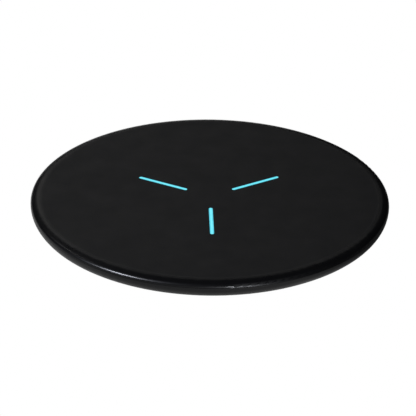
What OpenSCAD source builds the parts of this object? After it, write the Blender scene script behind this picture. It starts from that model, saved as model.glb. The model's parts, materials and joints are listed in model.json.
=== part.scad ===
// Slim round wireless charging pad for phones. A black case in two halves holds
// the transmitting coil, its ferrite, the circuit board and three light guides
// that show as cyan bars in the top face.
// The origin is in the middle of the plane that the feet stand on. +Z is up, -Y
// is the front, and the USB-C inlet is in the rim at the back (+Y).

/* [Case] */
// Diameter of the case at its widest line
case_diameter = 100; // [98:1:110]
// Height of the case from its underside to its top face
case_height = 5.3; // [5.3:0.1:6]
// Height of the rolled edge, from the widest line to the top face
upper_edge_height = 1.5; // [1.4:0.05:1.6]
// Radius of the rolled edge at the rim
rim_radius = 1.1; // [1:0.05:1.2]
// Slope in degrees at which the soft shoulder of the top face meets the rim
shoulder_slope = 25; // [20:1:35]
// Thickness of the top cover over the coil
cover_thickness = 1.2; // [1:0.05:1.2]
// Thickness of the floor of the bottom shell
floor_thickness = 1; // [0.9:0.05:1]
// Thickness of the curved wall of the bottom shell
wall_thickness = 1.3; // [1.1:0.1:1.4]
// Height of the groove between the two case halves
seam_height = 0.1; // [0.05:0.05:0.3]

/* [Light bars] */
// Distance from the centre to the inner end of each bar
bar_inner_radius = 7.35; // [7:0.05:8]
// Distance from the centre to the outer end of each bar
bar_outer_radius = 22.6; // [16:0.1:30]
// Width of each bar in the top face
bar_width = 1.1; // [0.8:0.1:1.6]

/* [Coil] */
// Number of turns
coil_turns = 10; // [6:1:10]
// Distance between the centres of two turns
coil_pitch = 1.12; // [1.1:0.01:1.12]
// Diameter of the litz wire
litz_diameter = 1.06; // [0.9:0.02:1.06]
// Radius of the ferrite disc
ferrite_radius = 24; // [23.6:0.1:24.4]

/* [Main board] */
// Thickness of the circuit board
board_thickness = 0.8; // [0.6:0.1:0.8]
// Half of the angle that the crescent board spans around the back
board_half_angle = 56; // [55:1:60]

/* [Feet and screws] */
// Height that the feet stand out below the case
foot_height = 0.7; // [0.5:0.1:1]
// Radius of each rubber foot
foot_radius = 5; // [4:0.5:7]
// Distance from the centre to each foot and the screw under it
foot_circle_radius = 36; // [35.5:0.5:36.5]

/* [Hidden] */
$fn = 96;

// Overshoot of a cutting shape past the face that it cuts
over = 0.5;

// Case
case_radius = case_diameter / 2;
lower_edge_radius = case_height - upper_edge_height;
floor_z = foot_height;
inside_z = floor_z + floor_thickness;
widest_z = floor_z + lower_edge_radius;
top_z = floor_z + case_height;
cover_z = top_z - cover_thickness;
shoulder_drop = upper_edge_height - rim_radius * cos(shoulder_slope);
shoulder_radius = shoulder_drop / (1 - cos(shoulder_slope));
shoulder_end = case_radius - rim_radius * (1 - sin(shoulder_slope));
shoulder_start = shoulder_end - shoulder_radius * sin(shoulder_slope);
seam_depth = 0.6;
spigot_outer_radius = case_radius - 1.8;
spigot_inner_radius = spigot_outer_radius - 0.7;
spigot_depth = 1.5;

// Screws, their bosses and the feet
foot_angles = [225, 315, 45, 135];
foot_recess = 0.3;
foot_clearance = 0.1;
foot_chamfer = 0.25;
boss_radius = 2.2;
floor_boss_radius = 3.2;
floor_boss_height = 0.5;
screw_head_radius = 1.8;
screw_head_height = 0.7;
screw_shank_radius = 0.95;
screw_clearance = 0.15;
screw_head_gap = 0.1;
screw_length = 2.4;
pilot_radius = 0.97;
pilot_depth = 2.6;

// Light bars, listed as front, right and left
bar_angles = [270, 30, 150];
bar_gap = 0.02;
flange_width = 2.6;
flange_thickness = 0.5;
flange_margin = 0.9;
flange_z = cover_z - flange_thickness;
bar_foot_depth = 0.4;
bar_foot_length = 1.65;
mask_thickness = 0.08;
mask_width = 3.6;
mask_gap = 0.1;
mask_overhang = 0.5;

// Coil stack, from the floor up
shield_thickness = 0.4;
tape_thickness = 0.1;
tape_margin = 0.4;
ferrite_thickness = 0.8;
base_tape_z = inside_z + shield_thickness;
ferrite_z = base_tape_z + tape_thickness;
coil_tape_z = ferrite_z + ferrite_thickness;
coil_z = coil_tape_z + tape_thickness + litz_diameter / 2;
coil_first_radius = 10.8;
coil_last_radius = coil_first_radius + coil_turns * coil_pitch;
coil_angle = 70;
lead_slot_width = 1.3;
lead_slot_start = 10.2;
inner_lead_size = 0.76;
lead_margin = 0.35;
solder_gap = 0.02;
outer_lead_bend = 2.2;

// LED board
led_board_radius = 8.4;
led_pad_radius = 8;
led_pad_thickness = 0.4;
led_board_z = coil_tape_z + led_pad_thickness;
led_board_thickness = 0.4;
led_board_top = led_board_z + led_board_thickness;
led_size = [1.3, 2.8, 0.8];
led_radius = 5.6;
flex_width = 4;
flex_thickness = 0.08;

// Main board
standoff_height = 0.6;
standoff_radius = 2;
board_z = inside_z + standoff_height;
board_top = board_z + board_thickness;
board_inner_radius = 27;
board_outer_radius = case_radius - 6;
board_boss_clearance = 0.4;
board_screw_angles = [50, 130];
board_screw_circle = board_outer_radius - 3.5;
board_screw_radius = 0.7;
board_screw_head = [1.4, 0.7];
board_screw_depth = 0.6;
board_screw_fit = 0.02;
board_screw_gap = 0.1;
board_pilot_sink = 0.2;
lead_pad_radius = 29.5;

// USB-C inlet
inlet_width = 8.94;
inlet_height = 3.16;
inlet_wall = 0.3;
inlet_length = 7.3;
inlet_front_y = case_radius - 2;
inlet_back_y = inlet_front_y - inlet_length;
inlet_z = board_top;
inlet_clearance = 0.27;
inlet_base_length = 2;
inlet_notch_gap = 0.15;
tongue_overlap = 0.1;
tongue_size = [6.69, 4.6, 0.7];
contact_count = 12;
contact_pitch = 0.5;
contact_size = [0.25, 3.6, 0.05];
contact_tail = [0.25, 1.3, 0.12];

// Ballast
ballast_inner_radius = 27;
ballast_outer_radius = case_radius - 6.5;
ballast_thickness = 1.3;
ballast_end_gap = 8;
ballast_hole_gap = 0.4;

// Label
label_size = [30, 16];
label_thickness = 0.1;
label_gap = 0.02;
label_corner = 1.5;
label_y = -4;

// Circles on the main board that its parts stand on
chip_circle = 35.6;
inner_circle = 30.5;
bulk_circle = board_outer_radius - 2.4;
small_circle = board_outer_radius - 2.2;

// Small electronic parts: length along the rim, width across it, height
capacitor_1210 = [3.2, 2.5, 1.55];
capacitor_1206 = [3.2, 1.6, 1.4];
capacitor_0603 = [1.6, 0.8, 0.8];
resistor_0603 = [1.6, 0.8, 0.45];
resistor_1206 = [3.2, 1.6, 0.6];
resistor_0402 = [1, 0.5, 0.35];

// Puts a shape at an angle and a distance from the centre, its +X pointing out.
module polar(angle, distance) {
    rotate([0, 0, angle])
        translate([distance, 0, 0])
            children();
}

// Disc with its lower face at z.
module disc(radius, z, height) {
    translate([0, 0, z])
        cylinder(r = radius, h = height);
}

// Flat ring with its lower face at z.
module ring(inner, outer, z, height) {
    difference() {
        disc(outer, z, height);
        disc(inner, z - over, height + 2 * over);
    }
}

// Part of a flat ring, centred on an angle.
module arc_ring(inner, outer, z, height, middle, half_angle) {
    rotate([0, 0, middle - half_angle])
        rotate_extrude(angle = 2 * half_angle)
            translate([inner, z])
                square([outer - inner, height]);
}

// Straight round wire between two points.
module wire(from, to, radius) {
    run = to - from;
    length = norm(run);
    translate(from)
        rotate([0, acos(run[2] / length), atan2(run[1], run[0])])
            cylinder(r = radius, h = length, $fn = 32);
}

// Bar with full round ends that lies along X.
module round_bar(x_start, x_end, width, z, height) {
    end_radius = width / 2;
    translate([x_start + end_radius, -end_radius, z])
        cube([x_end - x_start - width, width, height]);
    for (x = [x_start + end_radius, x_end - end_radius])
        translate([x, 0, z])
            cylinder(r = end_radius, h = height, $fn = 48);
}

// Prism along Y with the flat-sided round shape of the USB-C inlet.
module inlet_prism(width, height, y_start, y_end) {
    end_radius = height / 2;
    translate([0, y_end, inlet_z])
        rotate([90, 0, 0])
            linear_extrude(height = y_end - y_start) {
                square([width - height, height], center = true);
                for (side = [-1, 1])
                    translate([side * (width / 2 - end_radius), 0])
                        circle(r = end_radius, $fn = 48);
            }
}

// Room that both case halves leave around the inlet, open at the rim.
module inlet_room() {
    inlet_prism(
        inlet_width + 2 * inlet_clearance,
        inlet_height + 2 * inlet_clearance,
        inlet_back_y - inlet_clearance,
        case_radius + over
    );
}

// Box centred on X and Y with its lower face at z.
module block(size, z) {
    translate([-size[0] / 2, -size[1] / 2, z])
        cube(size);
}

// Chip part on the main board, its long side along the rim.
module board_part(angle, distance, size) {
    polar(angle, distance)
        rotate([0, 0, 90])
            block(size, board_top);
}

module top_cover() {
    color([0.1, 0.1, 0.11])
        difference() {
            union() {
                rotate_extrude($fn = 180)
                    cover_outline();
                for (angle = foot_angles)
                    polar(angle, foot_circle_radius)
                        disc(boss_radius, inside_z + floor_boss_height, cover_z - inside_z);
            }
            for (angle = foot_angles)
                polar(angle, foot_circle_radius)
                    disc(pilot_radius, inside_z, floor_boss_height + pilot_depth);
            for (angle = bar_angles)
                rotate([0, 0, angle])
                    round_bar(
                        bar_inner_radius - bar_gap,
                        bar_outer_radius + bar_gap,
                        bar_width + 2 * bar_gap,
                        cover_z - over,
                        cover_thickness + 2 * over
                    );
            inlet_room();
        }
}

// Half of the cover's section: the top plate with its edge, and the spigot.
module cover_outline() {
    difference() {
        union() {
            translate([0, widest_z])
                square([shoulder_start, upper_edge_height]);
            shoulder_outline();
            rim_outline();
        }
        translate([-over, widest_z - over])
            square([spigot_inner_radius + over, cover_z - widest_z + over]);
    }
    translate([spigot_inner_radius, cover_z - spigot_depth])
        square([spigot_outer_radius - spigot_inner_radius, spigot_depth + over / 2]);
}

// Soft shoulder between the flat top and the rim.
module shoulder_outline() {
    intersection() {
        translate([shoulder_start, top_z - shoulder_radius])
            circle(r = shoulder_radius, $fn = 360);
        translate([shoulder_start - over, widest_z])
            square([shoulder_end - shoulder_start + over, upper_edge_height]);
    }
}

// Rim whose arc runs on from the shoulder down to the widest line.
module rim_outline() {
    intersection() {
        translate([case_radius - rim_radius, widest_z])
            circle(r = rim_radius);
        translate([case_radius - rim_radius - over, widest_z])
            square(rim_radius + over);
    }
}

module bottom_shell() {
    color([0.12, 0.12, 0.13])
        difference() {
            union() {
                rotate_extrude($fn = 180)
                    shell_outline();
                for (angle = foot_angles)
                    polar(angle, foot_circle_radius)
                        disc(floor_boss_radius, inside_z - over, floor_boss_height + over);
                for (angle = board_screw_angles)
                    polar(angle, board_screw_circle)
                        disc(standoff_radius, inside_z - over, standoff_height + over);
                ferrite_rib();
            }
            for (angle = foot_angles)
                polar(angle, foot_circle_radius)
                    screw_and_foot_room();
            for (angle = board_screw_angles)
                polar(angle, board_screw_circle)
                    disc(
                        board_screw_radius,
                        inside_z - board_pilot_sink,
                        board_pilot_sink + standoff_height + over
                    );
            inlet_room();
            label_plate(label_thickness + label_gap, floor_z - over, over);
        }
}

// Half of the shell's section: floor, curved wall and the step of the seam.
module shell_outline() {
    edge_centre = case_radius - lower_edge_radius;
    inner_radius = lower_edge_radius - wall_thickness;
    pocket_radius = edge_centre - wall_thickness / 2;
    difference() {
        intersection() {
            translate([0, floor_z])
                square([case_radius, lower_edge_radius]);
            union() {
                translate([0, floor_z])
                    square([edge_centre, lower_edge_radius]);
                translate([edge_centre, widest_z])
                    circle(r = lower_edge_radius);
            }
        }
        translate([-over, inside_z])
            square([pocket_radius + over, lower_edge_radius]);
        translate([edge_centre, widest_z])
            circle(r = inner_radius);
        translate([case_radius - seam_depth, widest_z - seam_height])
            square([seam_depth + over, seam_height + over]);
    }
}

// Low ring that centres the ferrite, open where the coil's leads cross it.
module ferrite_rib() {
    rib_gap = 0.5;
    rib_width = 0.8;
    rib_height = 0.9;
    lead_gap_angle = 8;
    arc_ring(
        ferrite_radius + rib_gap,
        ferrite_radius + rib_gap + rib_width,
        inside_z - over,
        rib_height + over,
        coil_angle + 180,
        180 - lead_gap_angle
    );
}

// Foot recess, screw head counterbore and clearance hole, all on one axis.
module screw_and_foot_room() {
    disc(foot_radius + foot_clearance, floor_z - over, foot_recess + over);
    disc(screw_head_radius + screw_clearance, floor_z, foot_recess + screw_head_gap + screw_head_height);
    disc(screw_shank_radius + screw_clearance, floor_z, floor_thickness + 2 * floor_boss_height);
}

// Light guide: the bar in the slot, a wider flange under the cover, and a foot
// at the inner end that takes the light of the LED.
module light_bar(angle) {
    inner_end = bar_inner_radius - flange_margin;
    flange_length = bar_outer_radius - bar_inner_radius + 2 * flange_margin;
    color([0.31, 0.88, 0.95])
        rotate([0, 0, angle]) {
            round_bar(
                bar_inner_radius,
                bar_outer_radius,
                bar_width,
                cover_z - flange_thickness / 2,
                cover_thickness + flange_thickness / 2
            );
            translate([inner_end, -flange_width / 2, flange_z])
                cube([flange_length, flange_width, flange_thickness]);
            translate([inner_end, -flange_width / 2, flange_z - bar_foot_depth])
                cube([bar_foot_length, flange_width, bar_foot_depth + flange_thickness / 2]);
        }
}

module light_bar_front() { light_bar(bar_angles[0]); }
module light_bar_right() { light_bar(bar_angles[1]); }
module light_bar_left() { light_bar(bar_angles[2]); }

module light_mask() {
    mask_start = bar_inner_radius - flange_margin + bar_foot_length + mask_gap;
    mask_length = bar_outer_radius + flange_margin + mask_overhang - mask_start;
    color([0.93, 0.93, 0.9])
        for (angle = bar_angles)
            rotate([0, 0, angle])
                translate([mask_start, -mask_width / 2, flange_z - mask_thickness])
                    cube([mask_length, mask_width, mask_thickness]);
}

module led_board() {
    color([0.05, 0.3, 0.16])
        disc(led_board_radius, led_board_z, led_board_thickness);
}

module led_board_pad() {
    color([0.3, 0.3, 0.32])
        disc(led_pad_radius, coil_tape_z, led_pad_thickness);
}

// Side-firing LED: a white body with a lens that faces its light bar.
module led(angle) {
    lens_size = [0.15, 2, 0.5];
    lens_lift = 0.15;
    color([0.95, 0.95, 0.85])
        polar(angle, led_radius) {
            block(led_size, led_board_top);
            translate([led_size[0] / 2, 0, 0])
                block(lens_size, led_board_top + lens_lift);
        }
}

module led_front() { led(bar_angles[0]); }
module led_right() { led(bar_angles[1]); }
module led_left() { led(bar_angles[2]); }

module led_resistors() {
    resistor_circle = 3;
    between_bars = 60;
    color([0.15, 0.15, 0.16])
        for (angle = bar_angles)
            polar(angle + between_bars, resistor_circle)
                block(resistor_0402, led_board_top);
}

// Flat ribbon: up from the LED board, over the coil and down to its socket.
module led_flex() {
    coil_gap = 0.035;
    over_coil_z = coil_z + litz_diameter / 2 + coil_gap;
    socket_z = board_top + 0.4;
    soldered = [4.4, 8];
    over_coil = [9.6, 24.2];
    in_socket = [26.2, 28.9];
    path = [
        [soldered[0], led_board_top],
        [soldered[1], led_board_top],
        [over_coil[0], over_coil_z],
        [over_coil[1], over_coil_z],
        [in_socket[0], socket_z],
        [in_socket[1], socket_z],
    ];
    last = len(path) - 1;
    color([0.75, 0.45, 0.1])
        translate([-flex_width / 2, 0, 0])
            rotate([90, 0, 90])
                linear_extrude(height = flex_width)
                    polygon(concat(path, [for (i = [last:-1:0]) path[i] + [0, flex_thickness]]));
}

module flex_connector() {
    socket_size = [5.4, 2.6, 1];
    socket_radius = 30.2;
    mouth_size = [flex_width + 0.3, 1.5, 0.3];
    mouth_lift = 0.3;
    color([0.85, 0.83, 0.76])
        difference() {
            board_part(90, socket_radius, socket_size);
            translate([0, socket_radius - socket_size[1] / 2, 0])
                block(mouth_size, board_top + mouth_lift);
        }
}

// Spiral of half circles: the halves on one side turn about the pad's centre and
// those on the other about a point half a pitch aside, so a turn adds one pitch.
module transmit_coil() {
    color([0.72, 0.4, 0.2])
        rotate([0, 0, coil_angle])
            for (turn = [0:coil_turns - 1]) {
                turn_radius = coil_first_radius + turn * coil_pitch;
                translate([0, 0, coil_z])
                    litz_arc(turn_radius, 180);
                translate([coil_pitch / 2, 0, coil_z])
                    rotate([0, 0, 180])
                        litz_arc(turn_radius + coil_pitch / 2, 180);
            }
}

// Arc of litz wire that starts on +X.
module litz_arc(radius, angle) {
    rotate_extrude(angle = angle)
        translate([radius, 0])
            circle(r = litz_diameter / 2, $fn = 24);
}

// The two ends of the litz wire, from the winding to their pads on the board.
module coil_leads() {
    color([0.78, 0.5, 0.28])
        rotate([0, 0, coil_angle]) {
            outer_lead();
            inner_lead();
        }
}

// The last turn bends outwards and runs straight to its pad.
module outer_lead() {
    bend_x = coil_last_radius + outer_lead_bend;
    translate([bend_x, 0, coil_z])
        rotate([0, 0, 90])
            litz_arc(outer_lead_bend, 90);
    translate([bend_x, outer_lead_bend, coil_z])
        rotate([0, 90, 0])
            cylinder(r = litz_diameter / 2, h = lead_pad_radius - bend_x, $fn = 24);
}

// The first turn drops into the slot of the ferrite, runs out under the coil in
// its flat sleeve, and climbs onto the board.
module inner_lead() {
    half = inner_lead_size / 2;
    slot_z = ferrite_z + ferrite_thickness / 2;
    pad_z = board_top + half + solder_gap;
    slot_end = ferrite_radius + lead_margin;
    climb_end = board_inner_radius - lead_margin;
    rotate([90, 0, 0])
        linear_extrude(height = inner_lead_size)
            polygon([
                [coil_first_radius - half, coil_z + half],
                [coil_first_radius - half, slot_z - half],
                [slot_end, slot_z - half],
                [climb_end, pad_z - half],
                [lead_pad_radius, pad_z - half],
                [lead_pad_radius, pad_z + half],
                [climb_end, pad_z + half],
                [slot_end, slot_z + half],
                [coil_first_radius + half, slot_z + half],
                [coil_first_radius + half, coil_z + half],
            ]);
}

// Room for the inner lead under the coil.
module lead_slot(z, height) {
    rotate([0, 0, coil_angle])
        translate([lead_slot_start, -(inner_lead_size + lead_slot_width) / 2, z])
            cube([ferrite_radius, lead_slot_width, height]);
}

module coil_tape() {
    color([0.85, 0.8, 0.55])
        difference() {
            ring(coil_first_radius - tape_margin, coil_last_radius, coil_tape_z, tape_thickness);
            lead_slot(coil_tape_z - over, tape_thickness + 2 * over);
        }
}

module ferrite_shield() {
    color([0.2, 0.2, 0.22])
        difference() {
            disc(ferrite_radius, ferrite_z, ferrite_thickness);
            lead_slot(ferrite_z - over, ferrite_thickness + 2 * over);
        }
}

module base_tape() {
    color([0.8, 0.8, 0.75])
        disc(ferrite_radius - tape_margin, base_tape_z, tape_thickness);
}

module shield_plate() {
    color([0.75, 0.76, 0.78])
        disc(ferrite_radius, inside_z, shield_thickness);
}

// Bead against the coil's outer turn, with two leads to the board.
module thermistor() {
    bead_angle = 112;
    bead_radius = 0.6;
    bead_z = coil_tape_z + bead_radius;
    bead_gap = 0.1;
    bead_circle = coil_last_radius + litz_diameter / 2 + bead_radius + bead_gap;
    lead_radius = 0.15;
    lead_spread = 0.3;
    lead_end = [28.4, 3 * lead_spread, board_top + lead_radius];
    color([0.1, 0.1, 0.1])
        rotate([0, 0, bead_angle]) {
            translate([bead_circle, 0, bead_z])
                sphere(r = bead_radius, $fn = 32);
            for (side = [-1, 1])
                wire(
                    [bead_circle, side * lead_spread, bead_z],
                    [lead_end[0], side * lead_end[1], lead_end[2]],
                    lead_radius
                );
        }
}

module main_board() {
    notch_width = inlet_width + 2 * inlet_notch_gap;
    color([0.04, 0.32, 0.2])
        difference() {
            arc_ring(
                board_inner_radius,
                board_outer_radius,
                board_z,
                board_thickness,
                90,
                board_half_angle
            );
            for (angle = foot_angles)
                polar(angle, foot_circle_radius)
                    disc(boss_radius + board_boss_clearance, board_z - over, board_thickness + 2 * over);
            for (angle = board_screw_angles)
                polar(angle, board_screw_circle)
                    disc(board_screw_radius + board_screw_gap, board_z - over, board_thickness + 2 * over);
            translate([-notch_width / 2, inlet_back_y - inlet_notch_gap, board_z - over])
                cube([notch_width, inlet_length, board_thickness + 2 * over]);
        }
}

module board_screws() {
    recess = [1.5, 0.35];
    recess_depth = 0.35;
    shank_radius = board_screw_radius - board_screw_fit;
    shank_length = board_thickness + board_screw_depth;
    color([0.7, 0.7, 0.72])
        for (angle = board_screw_angles)
            polar(angle, board_screw_circle)
                difference() {
                    union() {
                        disc(board_screw_head[0], board_top, board_screw_head[1]);
                        disc(shank_radius, board_z - board_screw_depth, shank_length);
                    }
                    cross_recess(board_top + board_screw_head[1] - recess_depth, recess[0], recess[1]);
                }
}

// Cross recess of a screw head, cut from z towards +Z.
module cross_recess(z, length, width) {
    for (angle = [0, 90])
        rotate([0, 0, angle])
            block([length, width, over], z);
}

// Stamped shell with four feet that are soldered to the top of the board.
module usb_c_shell() {
    foot_size = [1.2, 0.9, 0.2];
    foot_places = [1.5, 3.6];
    foot_overlap = 0.1;
    foot_x = inlet_width / 2 + foot_size[0] / 2 - foot_overlap;
    color([0.78, 0.79, 0.8]) {
        difference() {
            inlet_prism(inlet_width, inlet_height, inlet_back_y, inlet_front_y);
            inlet_prism(
                inlet_width - 2 * inlet_wall,
                inlet_height - 2 * inlet_wall,
                inlet_back_y - over,
                inlet_front_y + over
            );
        }
        for (side = [-1, 1], place = foot_places)
            translate([side * foot_x, inlet_back_y + place, 0])
                block(foot_size, board_top);
    }
}

// Insulator that closes the back of the inlet and carries the tongue.
module usb_c_tongue() {
    base_front_y = inlet_back_y + inlet_base_length;
    gap = 0.02;
    color([0.08, 0.08, 0.09]) {
        inlet_prism(
            inlet_width - 2 * (inlet_wall + gap),
            inlet_height - 2 * (inlet_wall + gap),
            inlet_back_y,
            base_front_y
        );
        translate([-tongue_size[0] / 2, base_front_y - tongue_overlap, inlet_z - tongue_size[2] / 2])
            cube(tongue_size);
    }
}

// Contact strips on both faces of the tongue, and their tails on the board.
module usb_c_contacts() {
    strip_start = 0.3;
    strip_y = inlet_back_y + inlet_base_length + strip_start;
    color([0.85, 0.7, 0.3])
        for (i = [0:contact_count - 1]) {
            x = (i - (contact_count - 1) / 2) * contact_pitch - contact_size[0] / 2;
            translate([x, strip_y, inlet_z + tongue_size[2] / 2])
                cube(contact_size);
            translate([x, strip_y, inlet_z - tongue_size[2] / 2 - contact_size[2]])
                cube(contact_size);
            translate([x, inlet_back_y - contact_tail[1], board_top])
                cube(contact_tail);
        }
}

module controller_chip() {
    chip_angle = 108;
    chip_size = [5, 5, 0.85];
    color([0.1, 0.1, 0.11])
        board_part(chip_angle, chip_circle, chip_size);
}

module power_chips() {
    chip_angles = [64.5, 76];
    chip_size = [5, 5, 1];
    color([0.12, 0.12, 0.13])
        for (angle = chip_angles)
            board_part(angle, chip_circle, chip_size);
}

// Small regulator: a moulded body with three legs.
module regulator() {
    body_angle = 97;
    body_size = [2.9, 1.3, 1];
    leg_size = [0.4, 1.3, 0.15];
    leg_pitch = 0.95;
    leg_y = 0.55;
    color([0.1, 0.1, 0.1])
        polar(body_angle, chip_circle)
            rotate([0, 0, 90]) {
                block(body_size, board_top);
                for (place = [[-leg_pitch, -leg_y], [leg_pitch, -leg_y], [0, leg_y]])
                    translate(place)
                        block(leg_size, board_top);
            }
}

module input_inductor() {
    inductor_angle = 121.5;
    inductor_circle = 33.5;
    inductor_size = [5, 5, 1.5];
    color([0.3, 0.3, 0.32])
        board_part(inductor_angle, inductor_circle, inductor_size);
}

module crystal() {
    crystal_angle = 107;
    crystal_size = [3.2, 2.5, 0.7];
    color([0.8, 0.8, 0.8])
        board_part(crystal_angle, inner_circle, crystal_size);
}

module sense_resistor() {
    resistor_angle = 85;
    resistor_circle = 36.4;
    color([0.1, 0.1, 0.12])
        board_part(resistor_angle, resistor_circle, resistor_1206);
}

// Capacitors in series with the coil, beside its leads.
module resonant_capacitors() {
    color([0.55, 0.42, 0.3])
        for (angle = [39:7:60])
            board_part(angle, inner_circle, capacitor_1210);
}

// Capacitors across the supply, beside the inlet.
module bulk_capacitors() {
    color([0.6, 0.48, 0.35])
        for (angle = [77, 103, 109])
            board_part(angle, bulk_circle, capacitor_1206);
}

module small_capacitors() {
    color([0.62, 0.5, 0.38])
        for (angle = [58:3:70])
            board_part(angle, small_circle, capacitor_0603);
}

module small_resistors() {
    color([0.08, 0.08, 0.09])
        for (angle = [114.5:3:124])
            board_part(angle, small_circle, resistor_0603);
}

// Carries the heat of the power chips from the board to the floor.
module thermal_pad() {
    pad_angle = 70;
    pad_size = [6, 12, standoff_height];
    color([0.6, 0.7, 0.8])
        polar(pad_angle, chip_circle)
            block(pad_size, inside_z);
}

// Steel crescent with a hole around each front boss.
module ballast_plate() {
    color([0.5, 0.5, 0.52])
        difference() {
            arc_ring(
                ballast_inner_radius,
                ballast_outer_radius,
                inside_z + tape_thickness,
                ballast_thickness,
                270,
                90 - ballast_end_gap
            );
            for (angle = foot_angles)
                polar(angle, foot_circle_radius)
                    disc(floor_boss_radius + ballast_hole_gap, inside_z, ballast_thickness + over);
        }
}

module ballast_tape() {
    margin = 1.5;
    color([0.85, 0.85, 0.8])
        difference() {
            arc_ring(
                ballast_inner_radius + margin,
                ballast_outer_radius - margin,
                inside_z,
                tape_thickness,
                270,
                90 - ballast_end_gap - margin
            );
            for (angle = foot_angles)
                polar(angle, foot_circle_radius)
                    disc(
                        floor_boss_radius + 2 * ballast_hole_gap,
                        inside_z - over,
                        tape_thickness + 2 * over
                    );
        }
}

module case_screws() {
    head_z = floor_z + foot_recess + screw_head_gap;
    recess = [2, 0.45];
    recess_depth = 0.35;
    color([0.35, 0.35, 0.37])
        for (angle = foot_angles)
            polar(angle, foot_circle_radius)
                difference() {
                    union() {
                        disc(screw_head_radius, head_z, screw_head_height);
                        disc(screw_shank_radius, head_z, screw_head_height + screw_length);
                    }
                    cross_recess(head_z + recess_depth - over, recess[0], recess[1]);
                }
}

// Rubber foot with a chamfered lower edge, set into its recess.
module foot(angle) {
    height = foot_height + foot_recess;
    color([0.06, 0.06, 0.06])
        polar(angle, foot_circle_radius) {
            cylinder(r1 = foot_radius - foot_chamfer, r2 = foot_radius, h = foot_chamfer);
            disc(foot_radius, foot_chamfer, height - foot_chamfer);
        }
}

module foot_front_left() { foot(foot_angles[0]); }
module foot_front_right() { foot(foot_angles[1]); }
module foot_rear_right() { foot(foot_angles[2]); }
module foot_rear_left() { foot(foot_angles[3]); }

// Plate with rounded corners at the label's place, grown by margin below.
module label_plate(height, z, margin) {
    long = label_size[0] - 2 * label_corner;
    wide = label_size[1] - 2 * label_corner;
    translate([0, label_y, 0]) {
        block([label_size[0], wide, height + margin], z);
        block([long, label_size[1], height + margin], z);
        for (x = [-long / 2, long / 2], y = [-wide / 2, wide / 2])
            translate([x, y, 0])
                disc(label_corner, z, height + margin);
    }
}

module rating_label() {
    color([0.16, 0.16, 0.17])
        label_plate(label_thickness, floor_z + label_gap, 0);
}

top_cover();
bottom_shell();
light_bar_front();
light_bar_right();
light_bar_left();
light_mask();
led_board();
led_board_pad();
led_front();
led_right();
led_left();
led_resistors();
led_flex();
flex_connector();
transmit_coil();
coil_leads();
coil_tape();
ferrite_shield();
base_tape();
shield_plate();
thermistor();
main_board();
board_screws();
usb_c_shell();
usb_c_tongue();
usb_c_contacts();
controller_chip();
power_chips();
regulator();
input_inductor();
crystal();
sense_resistor();
resonant_capacitors();
bulk_capacitors();
small_capacitors();
small_resistors();
thermal_pad();
ballast_plate();
ballast_tape();
case_screws();
foot_front_left();
foot_front_right();
foot_rear_left();
foot_rear_right();
rating_label();
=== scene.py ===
"""Slim round wireless charging pad: looks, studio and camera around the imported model."""

import json
from math import cos, pi, radians, sin

import bmesh
import bpy
from mathutils import Matrix, Vector


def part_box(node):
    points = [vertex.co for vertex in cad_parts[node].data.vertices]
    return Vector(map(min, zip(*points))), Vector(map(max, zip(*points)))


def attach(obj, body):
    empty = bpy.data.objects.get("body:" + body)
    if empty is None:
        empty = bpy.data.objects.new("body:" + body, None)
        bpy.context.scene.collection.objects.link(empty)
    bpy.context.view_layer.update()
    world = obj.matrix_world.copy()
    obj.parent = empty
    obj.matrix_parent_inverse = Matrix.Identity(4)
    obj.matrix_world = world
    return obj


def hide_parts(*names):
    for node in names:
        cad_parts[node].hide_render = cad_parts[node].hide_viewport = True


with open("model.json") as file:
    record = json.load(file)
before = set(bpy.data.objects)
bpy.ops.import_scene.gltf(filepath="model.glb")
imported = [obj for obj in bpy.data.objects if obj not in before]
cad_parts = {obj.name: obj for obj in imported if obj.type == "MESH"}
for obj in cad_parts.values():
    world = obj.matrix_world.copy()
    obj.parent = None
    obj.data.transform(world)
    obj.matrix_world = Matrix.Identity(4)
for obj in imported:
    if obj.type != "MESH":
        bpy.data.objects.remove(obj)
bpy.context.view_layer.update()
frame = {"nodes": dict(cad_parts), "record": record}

MM = 0.001
CASE_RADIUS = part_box("bottom_shell")[1].x
SHARP_ANGLE = radians(32)


# ---------------------------------------------------------------- materials


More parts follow.
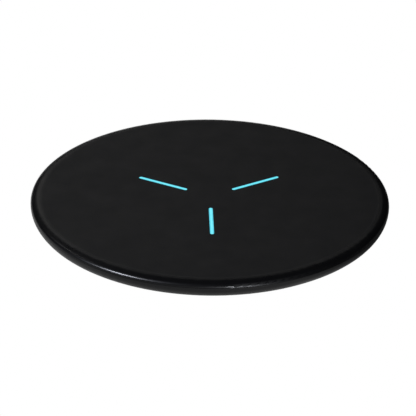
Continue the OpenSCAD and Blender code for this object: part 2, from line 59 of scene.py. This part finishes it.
class Surface:
    """A Principled material with short calls that add procedural detail to it."""

    def __init__(self, name, color, roughness, **constants):
        self.material = bpy.data.materials.new(name)
        self.material.use_nodes = True
        self.tree = self.material.node_tree
        self.shader = self.tree.nodes["Principled BSDF"]
        self.coordinates = self.add("ShaderNodeTexCoord").outputs["Object"]
        self.set("Base Color", (*color, 1.0))
        self.set("Roughness", roughness)
        for socket, value in constants.items():
            self.set(socket.replace("_", " "), value)

    def add(self, kind, **inputs):
        node = self.tree.nodes.new(kind)
        for socket, value in inputs.items():
            node.inputs[socket.replace("_", " ")].default_value = value
        return node

    def set(self, socket, value):
        self.shader.inputs[socket].default_value = value

    def link(self, source, target):
        self.tree.links.new(source, target)

    def noise(self, size, detail=2.0, stretch=(1.0, 1.0, 1.0)):
        """Noise from 0 to 1 whose blobs are about size metres wide."""
        placed = self.add("ShaderNodeMapping")
        placed.inputs["Scale"].default_value = stretch
        self.link(self.coordinates, placed.inputs["Vector"])
        node = self.add("ShaderNodeTexNoise", Scale=1.0 / size, Detail=detail)
        self.link(placed.outputs["Vector"], node.inputs["Vector"])
        return node.outputs["Fac"]

    def cells(self, size):
        """Distance to the middle of a cell, for cells about size metres wide."""
        node = self.add("ShaderNodeTexVoronoi", Scale=1.0 / size)
        self.link(self.coordinates, node.inputs["Vector"])
        return node.outputs["Distance"]

    def bands(self, width, direction, distortion=0.0):
        """Smooth bands from 0 to 1, one every width metres along a direction."""
        waves_per_unit = 20.0 / (2.0 * pi)
        scale = 1.0 / (width * waves_per_unit)
        node = self.add("ShaderNodeTexWave", Scale=scale, Distortion=distortion)
        node.bands_direction = direction
        self.link(self.coordinates, node.inputs["Vector"])
        return node.outputs["Fac"]

    def math(self, operation, first, second):
        node = self.add("ShaderNodeMath")
        node.operation = operation
        for socket, value in zip(node.inputs, (first, second)):
            if isinstance(value, (int, float)):
                socket.default_value = value
            else:
                self.link(value, socket)
        return node.outputs["Value"]

    def ramp(self, value, start, end, low, high):
        """Goes from low to high as value goes from start to end."""
        node = self.add("ShaderNodeMapRange")
        ends = {"From Min": start, "From Max": end, "To Min": low, "To Max": high}
        for socket, number in ends.items():
            node.inputs[socket].default_value = number
        self.link(value, node.inputs["Value"])
        return node.outputs["Result"]

    def axes(self):
        split = self.add("ShaderNodeSeparateXYZ")
        self.link(self.coordinates, split.inputs["Vector"])
        return split.outputs

    def radius(self):
        """Distance from the pad's axis."""
        x, y = self.axes()[0:2]
        squares = self.math("ADD", self.math("MULTIPLY", x, x), self.math("MULTIPLY", y, y))
        return self.math("POWER", squares, 0.5)

    def inside_box(self, low, high, margin):
        """1 where X and Y are inside a box shrunk by margin, 0 elsewhere."""
        inside = None
        for axis, socket in enumerate(self.axes()[0:2]):
            limits = {"GREATER_THAN": low[axis] + margin, "LESS_THAN": high[axis] - margin}
            for test, limit in limits.items():
                passed = self.math(test, socket, limit)
                inside = passed if inside is None else self.math("MULTIPLY", inside, passed)
        return inside

    def between(self, factor, low, high):
        """Spreads the middle of a noise over low to high."""
        return self.ramp(factor, 0.3, 0.7, low, high)

    def vary_roughness(self, factor, low, high):
        self.link(self.between(factor, low, high), self.shader.inputs["Roughness"])
        return self

    def vary_color(self, factor, first, second, spread=(0.3, 0.7), socket="Base Color"):
        mix = self.add("ShaderNodeMix")
        mix.data_type = "RGBA"
        mix.inputs[6].default_value = (*first, 1.0)
        mix.inputs[7].default_value = (*second, 1.0)
        self.link(self.ramp(factor, *spread, 0.0, 1.0), mix.inputs[0])
        self.link(mix.outputs[2], self.shader.inputs[socket])
        return self

    def bump(self, height, depth, strength=1.0):
        """Relief of depth metres from a height between 0 and 1."""
        node = self.add("ShaderNodeBump", Strength=strength, Distance=depth)
        self.link(height, node.inputs["Height"])
        if self.shader.inputs["Normal"].links:
            self.link(self.shader.inputs["Normal"].links[0].from_socket, node.inputs["Normal"])
        self.link(node.outputs["Normal"], self.shader.inputs["Normal"])
        return self


def cover_black():
    """Soft-touch black, a little smoother on the rim where hands polish it."""
    made = Surface("cover_black", (0.0010, 0.0010, 0.0011), 0.5, Specular_IOR_Level=0.12)
    flat_end, rim_start = 0.93, 0.965
    smoother = 0.22
    polish = made.ramp(made.radius(), flat_end * CASE_RADIUS, rim_start * CASE_RADIUS, 0.0, smoother)
    handled = made.between(made.noise(7 * MM, 4.0), 0.48, 0.54)
    made.link(made.math("SUBTRACT", handled, polish), made.shader.inputs["Roughness"])
    made.bump(made.noise(0.16 * MM), 0.0008 * MM)
    return made.material


def shell_black():
    """Moulded plastic with a fine spark-eroded grain."""
    made = Surface("shell_black", (0.0012, 0.0012, 0.0013), 0.45, Specular_IOR_Level=0.12)
    made.vary_color(made.noise(5 * MM), (0.0010, 0.0010, 0.0011), (0.0015, 0.0015, 0.0015))
    made.vary_roughness(made.noise(0.4 * MM), 0.38, 0.46)
    made.bump(made.noise(0.22 * MM), 0.0015 * MM)
    return made.material


def light_guide():
    """Tinted acrylic, brightest along the middle of each bar and darker at its walls."""
    tint, wall, core = (0.01, 0.15, 0.18), (0.015, 0.36, 0.45), (0.18, 0.86, 0.95)
    lit_core, wall_start = 0.05 * MM, 0.55 * MM
    made = Surface("light_guide", tint, 0.3, Emission_Strength=0.76)
    x, y = made.axes()[0:2]
    distances = []
    for bar_angle in (270, 30, 150):
        along = radians(bar_angle)
        from_x = made.math("MULTIPLY", x, sin(along))
        from_y = made.math("MULTIPLY", y, cos(along))
        distances.append(made.math("ABSOLUTE", made.math("SUBTRACT", from_x, from_y), 0.0))
    nearest = made.math("MINIMUM", made.math("MINIMUM", distances[0], distances[1]), distances[2])
    cloud = made.between(made.noise(1.2 * MM), -0.08 * MM, 0.08 * MM)
    made.vary_color(
        made.math("ADD", nearest, cloud), core, wall, (lit_core, wall_start), socket="Emission Color"
    )
    made.vary_roughness(made.noise(0.5 * MM), 0.25, 0.35)
    return made.material


def circuit_board():
    """Green solder mask over woven glass, with patches of tracks along X or Y showing through."""
    mask, track = (0.006, 0.085, 0.040), (0.012, 0.150, 0.065)
    made = Surface("circuit_board", mask, 0.35, Coat_Weight=0.3, Coat_Roughness=0.2)
    along_x = made.math("GREATER_THAN", made.noise(5 * MM), 0.5)
    across = made.math("SUBTRACT", 1.0, along_x)
    lines = made.math(
        "ADD",
        made.math("MULTIPLY", along_x, made.bands(0.7 * MM, "Y")),
        made.math("MULTIPLY", across, made.bands(0.7 * MM, "X")),
    )
    routed = made.ramp(made.noise(3 * MM, 0.0), 0.42, 0.50, 0.0, 1.0)
    made.vary_color(made.math("MULTIPLY", lines, routed), mask, track, spread=(0.60, 0.72))
    made.vary_roughness(made.noise(2 * MM), 0.30, 0.42)
    for axis in "XY":
        made.bump(made.bands(0.45 * MM, axis), 0.004 * MM)
    return made.material


def flex_ribbon():
    """Amber polyimide with copper tracks along it."""
    amber, copper = (0.42, 0.17, 0.02), (0.60, 0.28, 0.06)
    made = Surface("flex_ribbon", amber, 0.3, Coat_Weight=0.4, Coat_Roughness=0.15)
    made.vary_color(made.bands(1.0 * MM, "X"), amber, copper)
    made.vary_roughness(made.noise(1.5 * MM), 0.24, 0.38)
    made.bump(made.bands(1.0 * MM, "X"), 0.01 * MM)
    return made.material


def litz_copper():
    """Bundle of enamelled copper wires that twist around each other, with painted shade darkening the
    grooves between the wires.
    """
    light, dark = (0.72, 0.33, 0.12), (0.36, 0.13, 0.045)
    made = Surface("litz_copper", light, 0.32, Metallic=0.85, Coat_Weight=0.35, Coat_Roughness=0.2)
    strand_relief_and_shade = made.bands(0.34 * MM, "DIAGONAL", distortion=0.6)
    # Painted shade: the colour follows the wire relief, dark copper painted into the grooves between
    # wires and light copper on their tops.
    made.vary_color(strand_relief_and_shade, dark, light)
    made.vary_roughness(made.noise(0.3 * MM), 0.26, 0.40)
    made.bump(strand_relief_and_shade, 0.03 * MM)
    return made.material


def label_film():
    """Blank satin label: a thin printed frame and nothing inside it."""
    film, ink = (0.010, 0.010, 0.011), (0.10, 0.10, 0.105)
    low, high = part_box("rating_label")
    margin, line = 1.0 * MM, 0.18 * MM
    made = Surface("label_film", film, 0.32)
    outer = made.inside_box(low, high, margin)
    inner = made.inside_box(low, high, margin + line)
    made.vary_color(made.math("SUBTRACT", outer, inner), film, ink, spread=(0.0, 1.0))
    made.vary_roughness(made.noise(3 * MM), 0.27, 0.38)
    made.bump(made.noise(0.5 * MM), 0.002 * MM)
    return made.material


def foot_rubber():
    """Dull rubber with open pores and a dusty bloom."""
    grey = (0.014, 0.014, 0.014)
    made = Surface("foot_rubber", grey, 0.85, Specular_IOR_Level=0.25, Sheen_Weight=0.15)
    made.vary_color(made.noise(1.5 * MM, 4.0), (0.010, 0.010, 0.010), (0.022, 0.021, 0.020))
    made.vary_roughness(made.noise(0.6 * MM), 0.78, 0.92)
    made.bump(made.cells(0.35 * MM), 0.02 * MM)
    return made.material


def foam():
    """Closed-cell foam, with painted shade darkening the middle of each cell pit."""
    made = Surface("foam", (0.045, 0.045, 0.050), 0.9, Sheen_Weight=0.2)
    # Painted shade: the colour follows the cell relief of the bump below, darker in the pits and
    # lighter on the ridges between them.
    made.vary_color(made.cells(0.3 * MM), (0.020, 0.020, 0.022), (0.070, 0.070, 0.075))
    made.vary_roughness(made.noise(1 * MM), 0.84, 0.95)
    made.bump(made.cells(0.3 * MM), 0.05 * MM)
    return made.material


def ferrite():
    """Sintered ferrite: a dull grey ceramic with bright specks."""
    made = Surface("ferrite", (0.030, 0.030, 0.034), 0.55)
    made.vary_color(made.cells(0.12 * MM), (0.022, 0.022, 0.025), (0.055, 0.055, 0.060))
    made.vary_roughness(made.noise(0.25 * MM), 0.45, 0.65)
    made.bump(made.noise(0.1 * MM), 0.006 * MM)
    return made.material


def rolled_metal(name, dark, light, roughness, streak):
    """Rolled sheet or turned metal, streaked along X."""
    made = Surface(name, light, roughness, Metallic=1.0, Anisotropic=0.3)
    lines = made.noise(streak, 3.0, stretch=(0.06, 1.0, 1.0))
    made.vary_color(lines, dark, light)
    made.vary_roughness(lines, roughness - 0.07, roughness + 0.09)
    made.bump(lines, 0.003 * MM)
    return made.material


def fine_grained(name, dark, light, roughness, grain, depth, **constants):
    """Moulded, fired or coated material with a fine grain and a faint cloud."""
    made = Surface(name, light, roughness, **constants)
    made.vary_color(made.noise(12 * grain, 3.0), dark, light)
    made.vary_roughness(made.noise(5 * grain), roughness - 0.06, roughness + 0.06)
    made.bump(made.noise(grain), depth)
    return made.material


def materials():
    """The material of every slot in the record."""
    grained = {
        "reflector_film": ((0.78, 0.78, 0.76), (0.88, 0.88, 0.86), 0.35, 1.5 * MM, 0.010 * MM),
        "led_package": ((0.72, 0.71, 0.60), (0.86, 0.86, 0.78), 0.40, 0.10 * MM, 0.003 * MM),
        "resistor": ((0.012, 0.012, 0.013), (0.026, 0.026, 0.028), 0.35, 0.08 * MM, 0.003 * MM),
        "socket_plastic": ((0.60, 0.56, 0.43), (0.72, 0.68, 0.55), 0.45, 0.12 * MM, 0.004 * MM),
        "lead_sleeve": ((0.36, 0.17, 0.06), (0.48, 0.24, 0.09), 0.60, 0.15 * MM, 0.012 * MM),
        "adhesive_tape": ((0.52, 0.47, 0.28), (0.66, 0.61, 0.40), 0.50, 0.60 * MM, 0.008 * MM),
        "thermistor_epoxy": ((0.008, 0.008, 0.009), (0.020, 0.020, 0.022), 0.25, 0.20 * MM, 0.010 * MM),
        "inlet_plastic": ((0.008, 0.008, 0.009), (0.014, 0.014, 0.015), 0.50, 0.12 * MM, 0.004 * MM),
        "chip_resin": ((0.010, 0.010, 0.011), (0.018, 0.018, 0.019), 0.55, 0.08 * MM, 0.004 * MM),
        "inductor_ferrite": ((0.040, 0.040, 0.044), (0.070, 0.070, 0.075), 0.60, 0.12 * MM, 0.008 * MM),
        "capacitor_ceramic": ((0.26, 0.16, 0.08), (0.36, 0.23, 0.13), 0.40, 0.10 * MM, 0.004 * MM),
        "thermal_silicone": ((0.28, 0.38, 0.52), (0.36, 0.46, 0.60), 0.60, 0.40 * MM, 0.020 * MM),
        "screw_black": ((0.018, 0.018, 0.020), (0.040, 0.040, 0.043), 0.38, 0.15 * MM, 0.004 * MM),
    }
    metals = {
        "shield_aluminium": ((0.66, 0.67, 0.69), (0.82, 0.83, 0.85), 0.30, 0.30 * MM),
        "screw_steel": ((0.48, 0.48, 0.50), (0.62, 0.62, 0.64), 0.30, 0.12 * MM),
        "inlet_steel": ((0.50, 0.50, 0.51), (0.66, 0.66, 0.67), 0.30, 0.12 * MM),
        "contact_gold": ((0.72, 0.48, 0.16), (0.90, 0.64, 0.26), 0.25, 0.08 * MM),
        "crystal_can": ((0.62, 0.61, 0.57), (0.78, 0.77, 0.72), 0.26, 0.15 * MM),
        "ballast_steel": ((0.34, 0.34, 0.35), (0.50, 0.50, 0.51), 0.42, 0.50 * MM),
    }
    made = {name: fine_grained(name, *values) for name, values in grained.items()}
    made.update({name: rolled_metal(name, *values) for name, values in metals.items()})
    for build in (
        cover_black, shell_black, light_guide, circuit_board, flex_ribbon,
        litz_copper, label_film, foot_rubber, foam, ferrite,
    ):
        made[build.__name__] = build()
    return made


# ------------------------------------------------------------------- studio

# How bright the table is for the pad, on its left and middle and on its right
FLOOR_GLOW = (0.90, 0.12)

# Name, azimuth and elevation in degrees, distance and size in metres, watts, colour
LAMPS = [
    ("softbox_back", 90, 34, 0.9, (0.50, 0.20), 0.34, (1.0, 0.99, 0.97)),
    ("softbox_low", 98, 25, 0.9, (0.30, 0.20), 0.15, (1.0, 0.99, 0.97)),
    ("softbox_left", 140, 45, 0.9, (0.12, 0.12), 0.50, (1.0, 0.99, 0.97)),
    ("strip_left", 210, 34, 0.6, (0.12, 0.04), 11.0, (0.86, 0.89, 1.0)),
    ("strip_front", 290, 1.5, 0.4, (0.06, 0.015), 3.2, (0.92, 0.94, 1.0)),
]


def aim(azimuth, elevation):
    """Unit vector from the pad towards a place in the studio."""
    a, e = radians(azimuth), radians(elevation)
    return Vector((cos(a) * cos(e), sin(a) * cos(e), sin(e)))


def softbox(name, azimuth, elevation, distance, size, power, color):
    lamp = bpy.data.lights.new(name, "AREA")
    lamp.shape = "RECTANGLE"
    lamp.size, lamp.size_y = size
    lamp.energy = power
    lamp.color = color
    made = bpy.data.objects.new(name, lamp)
    direction = aim(azimuth, elevation)
    made.location = direction * distance + Vector((0, 0, 5 * MM))
    made.rotation_mode = "QUATERNION"
    made.rotation_quaternion = direction.to_track_quat("Z", "Y")
    bpy.context.scene.collection.objects.link(made)


def seen_or_lit(tree, seen, lit):
    """Links the number that the camera sees and the one that the object sees."""
    path = tree.nodes.new("ShaderNodeLightPath")
    pick = tree.nodes.new("ShaderNodeMix")
    tree.links.new(path.outputs["Is Camera Ray"], pick.inputs["Factor"])
    for socket, value in ((pick.inputs["A"], lit), (pick.inputs["B"], seen)):
        if isinstance(value, (int, float)):
            socket.default_value = value
        else:
            tree.links.new(value, socket)
    return pick.outputs["Result"]


def floor():
    """White table, seen evenly lit, that lights the pad mostly from the left.

    From below it is clear, so that the underside can be looked at.
    """
    half = 3.0
    mesh = bpy.data.meshes.new("floor")
    corners = [(-half, -half, 0), (half, -half, 0), (half, half, 0), (-half, half, 0)]
    mesh.from_pydata(corners, [], [(0, 1, 2, 3)])
    made = bpy.data.objects.new("floor", mesh)
    bpy.context.scene.collection.objects.link(made)
    surface = Surface("floor_white", (0.0, 0.0, 0.0), 0.9, Specular_IOR_Level=0.0)
    glow = surface.ramp(surface.axes()[0], 0.5 * CASE_RADIUS, 0.9 * CASE_RADIUS, *FLOOR_GLOW)
    surface.set("Emission Color", (1, 1, 1, 1))
    surface.link(seen_or_lit(surface.tree, 1.0, glow), surface.shader.inputs["Emission Strength"])
    clear = surface.add("ShaderNodeBsdfTransparent")
    sides = surface.add("ShaderNodeMixShader")
    output = surface.tree.nodes["Material Output"]
    surface.link(surface.add("ShaderNodeNewGeometry").outputs["Backfacing"], sides.inputs[0])
    surface.link(surface.shader.outputs["BSDF"], sides.inputs[1])
    surface.link(clear.outputs["BSDF"], sides.inputs[2])
    surface.link(sides.outputs["Shader"], output.inputs["Surface"])
    mesh.materials.append(surface.material)


def camera():
    azimuth, elevation, roll = radians(-1.84), radians(27.83), radians(0.70)
    distance = 0.798
    lens = 246.8
    framing = (-0.00050, 0.00122)
    sensor_width = 36
    data = bpy.data.cameras.new("camera")
    data.lens = lens
    data.sensor_width = sensor_width
    made = bpy.data.objects.new("camera", data)
    back = Vector((sin(azimuth) * cos(elevation), -cos(azimuth) * cos(elevation), sin(elevation)))
    right = Vector((cos(azimuth), sin(azimuth), 0))
    up = back.cross(right)
    rim_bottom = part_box("bottom_shell")[0].z
    target = Vector((0, 0, rim_bottom)) + right * framing[0] + up * framing[1]
    turned = Matrix((right, up, back)).transposed() @ Matrix.Rotation(roll, 3, "Z")
    made.matrix_world = Matrix.Translation(target + back * distance) @ turned.to_4x4()
    bpy.context.scene.collection.objects.link(made)
    bpy.context.scene.camera = made


def surroundings():
    """White where the camera sees past the floor, and nearly dark for the pad."""
    world = bpy.data.worlds.new("studio")
    world.use_nodes = True
    background = world.node_tree.nodes["Background"]
    background.inputs["Color"].default_value = (1, 1, 1, 1)
    seen, lit = 1.0, 0.01
    strength = seen_or_lit(world.node_tree, seen, lit)
    world.node_tree.links.new(strength, background.inputs["Strength"])
    bpy.context.scene.world = world


def studio():
    bpy.context.scene.view_settings.view_transform = "Standard"
    surroundings()
    for lamp in LAMPS:
        softbox(*lamp)
    floor()
    camera()


# ------------------------------------------------------------------- pieces


def smooth(node):
    """Rounds a CAD node's shading and keeps its flat faces flat."""
    made = frame["nodes"][node]
    made.data.shade_smooth()
    made.data.set_sharp_from_angle(angle=SHARP_ANGLE)
    weighted = made.modifiers.new("weighted_normals", "WEIGHTED_NORMAL")
    weighted.keep_sharp = True
    return made


def dress(node, material):
    made = smooth(node)
    made.data.materials.clear()
    made.data.materials.append(material)


def packages(node):
    """The place and half sizes of each box-shaped package of a CAD node, longest side along its X."""
    shape = bmesh.new()
    shape.from_mesh(frame["nodes"][node].data)
    bmesh.ops.remove_doubles(shape, verts=shape.verts, dist=0.0001 * MM)
    seen, found = set(), []
    for start in shape.verts:
        if start in seen:
            continue
        island = [start]
        seen.add(start)
        for corner in island:
            for edge in corner.link_edges:
                other = edge.other_vert(corner)
                if other not in seen:
                    seen.add(other)
                    island.append(other)
        low, high = (pick(corner.co.z for corner in island) for pick in (min, max))
        first, *others = [corner.co.copy() for corner in island if corner.co.z < (low + high) / 2]
        width, length, _ = sorted((corner - first for corner in others), key=lambda side: side.length)
        middle = first + (width + length) / 2
        middle.z = (low + high) / 2
        along, up = length.normalized(), Vector((0, 0, 1))
        axes = Matrix((along, up.cross(along), up)).transposed().to_4x4()
        half = Vector((length.length, width.length, high - low)) / 2
        found.append((Matrix.Translation(middle) @ axes, half))
    shape.free()
    return found


def detail(name, node, slot, blocks, bevel=0.04 * MM):
    """One piece made of bevelled blocks, each a place and half sizes, that stands for a CAD node."""
    shape = bmesh.new()
    for place, half in blocks:
        size = Matrix.Diagonal((*(2 * half), 1))
        corners = bmesh.ops.create_cube(shape, size=1.0, matrix=place @ size)["verts"]
        shape.edges.index_update()
        edges = {edge for corner in corners for edge in corner.link_edges}
        edges = sorted(edges, key=lambda edge: edge.index)
        bmesh.ops.bevel(shape, geom=edges, offset=bevel, segments=1, affect="EDGES")
    mesh = bpy.data.meshes.new(name)
    shape.to_mesh(mesh)
    shape.free()
    mesh.materials.append(finishes[slot])
    made = bpy.data.objects.new(name, mesh)
    bpy.context.scene.collection.objects.link(made)
    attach(made, "root")
    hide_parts(node)


def end_capped(node, slot):
    """Ceramic chips with a tinned cap on each end, a little proud of the body."""
    proud, cap_share = 0.03 * MM, 0.2
    bodies, caps = [], []
    for place, half in packages(node):
        cap = cap_share * half.x
        bodies.append((place, half - Vector((2 * cap, proud, proud))))
        for end in (-1, 1):
            shift = Matrix.Translation((end * (half.x - cap), 0, 0))
            caps.append((place @ shift, Vector((cap, half.y, half.z))))
    detail(node + "_bodies", node, slot, bodies)
    detail(node + "_caps", node, "crystal_can", caps)


def leadless_chip(node, slot):
    """Resin packages with a row of tinned contacts along the foot of each side."""
    proud, pitch = 0.05 * MM, 0.5 * MM
    contact = Vector((proud, 0.24 * MM, 0.20 * MM)) / 2
    bodies, contacts = [], []
    for place, half in packages(node):
        bodies.append((place, half - Vector((proud, proud, 0))))
        count = int(2 * half.y / pitch) - 1
        for side in range(4):
            turn = Matrix.Rotation(side * pi / 2, 4, "Z")
            for index in range(count):
                across = (index - (count - 1) / 2) * pitch
                shift = Matrix.Translation((half.x - contact.x, across, contact.z - half.z))
                contacts.append((place @ turn @ shift, contact))
    detail(node + "_bodies", node, slot, bodies)
    detail(node + "_contacts", node, "crystal_can", contacts, bevel=0.01 * MM)


studio()
finishes = materials()
for sub_part in frame["record"]["subparts"]:
    dress(sub_part["node"], finishes[sub_part["material_slot"]])
for node in ("resonant_capacitors", "bulk_capacitors", "small_capacitors"):
    end_capped(node, "capacitor_ceramic")
for node in ("small_resistors", "sense_resistor", "led_resistors"):
    end_capped(node, "resistor")
for node in ("controller_chip", "power_chips"):
    leadless_chip(node, "chip_resin")
